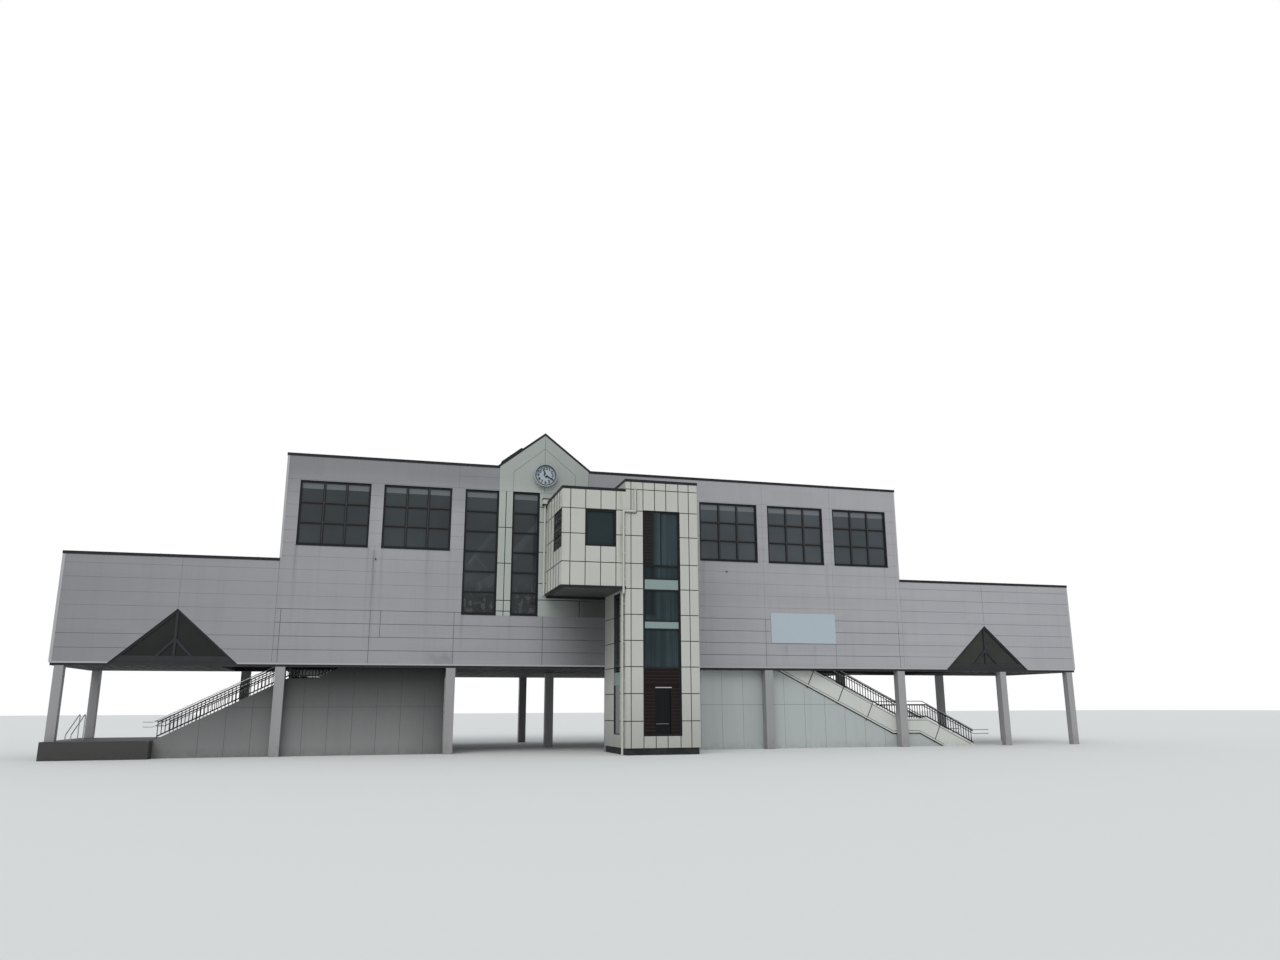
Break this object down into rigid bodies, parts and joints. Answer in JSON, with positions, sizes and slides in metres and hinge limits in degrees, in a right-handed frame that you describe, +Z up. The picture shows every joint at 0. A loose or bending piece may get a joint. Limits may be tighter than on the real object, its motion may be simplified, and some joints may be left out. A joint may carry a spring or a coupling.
{
  "type": "railway station building scale model",
  "caption": "Railway station building raised on columns, with stairs up to the hall, a pointed gable with a clock, a glazed bay and a lift tower; half size model.",
  "frame": {"origin": "middle of the bounding box on the ground", "axes": "+X along the front to its right end as seen from outside, -Y is the front with the clock, +Z up"},
  "size_m": [25.415, 9.22, 7.72],
  "materials": {
    "grey_cladding": "satin",
    "white_panels": "satin",
    "dark_coping": "satin",
    "roof_sheet": "matte",
    "dark_frames": "satin",
    "window_glass": "clear, dark tinted",
    "column_paint": "satin",
    "dark_beam": "matte",
    "soffit_boards": "matte",
    "concrete": "matte",
    "stair_white": "satin",
    "dark_railing": "satin",
    "tower_base": "matte",
    "brown_boards": "matte",
    "pale_panels": "satin",
    "clock_rim": "satin",
    "clock_face": "matte",
    "clock_hands": "satin",
    "pipe_paint": "satin",
    "sign_white": "satin"
  },
  "bodies": {
    "building": {"left_wing_front_wall": "grey_cladding", "right_wing_front_wall": "grey_cladding", "wing_end_walls": "grey_cladding", "wing_rear_walls": "grey_cladding", "hall_front_walls": "grey_cladding", "hall_rear_walls": "grey_cladding", "hall_end_walls": "grey_cladding", "hall_end_walls_lower": "grey_cladding", "gable_front_wall": "white_panels", "gable_rear_wall": "white_panels", "bay_walls": "white_panels", "tower_front_wall": "white_panels", "tower_side_walls": "white_panels", "tower_rear_wall": "white_panels", "wing_copings": "dark_coping", "hall_copings": "dark_coping", "gable_copings": "dark_coping", "bay_and_tower_copings": "dark_coping", "wing_roofs": "roof_sheet", "hall_roof": "roof_sheet", "gable_roof": "roof_sheet", "bay_and_tower_roofs": "roof_sheet", "front_window_frames": "dark_frames", "rear_window_frames": "dark_frames", "triangle_window_frames": "dark_frames", "bay_window_frames": "dark_frames", "tower_glazing_frames": "dark_frames", "front_window_glass": "window_glass", "rear_window_glass": "window_glass", "triangle_window_glass": "window_glass", "bay_window_glass": "window_glass", "tower_glass": "window_glass", "front_pillars": "column_paint", "rear_pillars": "column_paint", "left_stair_side_wall": "column_paint", "edge_beams": "dark_beam", "undercroft_ceiling": "soffit_boards", "wing_ceilings": "soffit_boards", "concourse_floor": "concrete", "bay_floor": "concrete", "stair_treads": "concrete", "stair_slabs": "concrete", "stair_landings": "concrete", "low_plinth_wall": "concrete", "left_stair_strings": "stair_white", "right_stair_strings": "stair_white", "right_stair_side_wall": "stair_white", "left_stair_railings": "dark_railing", "right_stair_railings": "dark_railing", "tower_plinth": "tower_base", "tower_brown_boards": "brown_boards", "tower_pale_panels": "pale_panels", "clock_case": "clock_rim", "clock_dial": "clock_face", "rainwater_pipes": "pipe_paint", "blank_sign_boards": "sign_white"},
    "hour_hand": {"clock_hour_hand": "clock_hands"},
    "minute_hand": {"clock_minute_hand": "clock_hands"}
  },
  "joints": [
    {"name": "minute_turn", "type": "hinge", "parent": "building", "child": "minute_hand", "pos_m": [-2.3075, -2.735, 6.61], "axis": [0, 1, 0], "continuous": true},
    {"name": "hour_turn", "type": "hinge", "parent": "building", "child": "hour_hand", "pos_m": [-2.3075, -2.735, 6.61], "axis": [0, 1, 0], "continuous": true}
  ],
  "couplings": [
    {"joint": "hour_turn", "follows": "minute_turn", "ratio": 0.083333}
  ]
}
